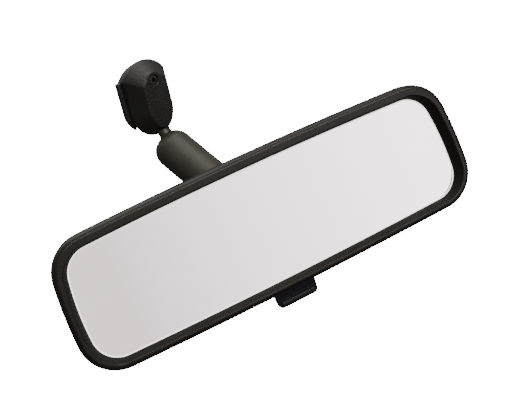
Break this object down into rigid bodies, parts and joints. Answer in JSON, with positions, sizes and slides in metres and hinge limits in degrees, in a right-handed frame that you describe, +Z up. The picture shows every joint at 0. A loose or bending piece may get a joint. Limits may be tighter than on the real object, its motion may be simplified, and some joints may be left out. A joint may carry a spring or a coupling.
{
  "type": "interior rearview mirror",
  "caption": "Interior rearview mirror: framed prism glass with a day and night lever, on a two-ball arm and a windshield bracket.",
  "frame": {"origin": "middle of the button channel, in the plane of the bracket's back face", "axes": "+X to the driver's right, +Y into the windshield, +Z up along the button channel; the glass faces -Y, turned to the driver"},
  "size_m": [0.1949, 0.1326, 0.1133],
  "materials": {
    "bracket_paint": "satin black paint on die-cast zinc",
    "tube_paint": "satin black paint on steel tube",
    "ball_steel": "bare greased steel",
    "stud_paint": "satin black",
    "bezel_plastic": "black moulded plastic, fine grain",
    "housing_plastic": "black moulded plastic, fine grain",
    "lever_plastic": "black moulded plastic",
    "prism_glass": "silvered prism glass",
    "silver": "silvered",
    "backing": "dark paint and felt sheet",
    "pin_steel": "plain steel",
    "spring_steel": "spring steel",
    "carrier_metal": "zinc-plated casting",
    "cup_nylon": "natural nylon",
    "screw_black": "black oxide",
    "rubber": "matt"
  },
  "bodies": {
    "bracket": {"windshield_bracket": "bracket_paint", "set_screw": "screw_black", "upper_stud": "stud_paint"},
    "upper_ball": {"upper_ball": "ball_steel"},
    "arm": {"arm_tube": "tube_paint", "upper_cup": "cup_nylon", "arm_spring": "spring_steel"},
    "lower_cup": {"lower_cup": "cup_nylon"},
    "lower_ball": {"lower_ball": "ball_steel"},
    "carrier": {"lower_stud": "stud_paint", "carrier_plate": "carrier_metal"},
    "head": {"rear_housing": "housing_plastic", "front_bezel": "bezel_plastic", "mirror_glass": "prism_glass", "silver_coating": "silver", "glass_backing": "backing", "carrier_pin": "pin_steel", "lever_pin": "pin_steel", "toggle_spring": "spring_steel", "bumper_pads": "rubber"},
    "lever": {"day_night_lever": "lever_plastic"}
  },
  "joints": [
    {"name": "arm_swivel", "type": "hinge", "parent": "bracket", "child": "upper_ball", "pos_m": [0, -0.01625, -0.0269], "axis": [0, -0.5, -0.866], "range_deg": [-35, 35]},
    {"name": "arm_tilt", "type": "hinge", "parent": "upper_ball", "child": "arm", "pos_m": [0, -0.01625, -0.0269], "axis": [-0.9745, -0.1945, 0.1123], "range_deg": [-26, 2]},
    {"name": "head_spin", "type": "hinge", "parent": "arm", "child": "lower_cup", "pos_m": [0.00575, -0.06111, -0.05472], "axis": [-0.1082, 0.8448, 0.524], "range_deg": [-35, 35]},
    {"name": "head_tilt", "type": "hinge", "parent": "lower_cup", "child": "lower_ball", "pos_m": [0.00575, -0.06111, -0.05472], "axis": [-0.4187, 0.4393, -0.7948], "range_deg": [-20, 6]},
    {"name": "head_roll", "type": "hinge", "parent": "lower_ball", "child": "carrier", "pos_m": [0.00575, -0.06111, -0.05472], "axis": [0.2412, 0.8976, 0.369], "range_deg": [-30, 30]},
    {"name": "night_flip", "type": "hinge", "parent": "carrier", "child": "head", "pos_m": [-0.00006, -0.07477, -0.0357], "axis": [-0.9534, 0.2903, -0.0828], "range_deg": [0, 4.5]},
    {"name": "lever_swing", "type": "hinge", "parent": "head", "child": "lever", "pos_m": [-0.00172, -0.09003, -0.0701], "axis": [-0.9534, 0.2903, -0.0828], "range_deg": [0, 30.01]}
  ],
  "couplings": [
    {"joint": "lever_swing", "follows": "night_flip", "ratio": 6.6667}
  ]
}
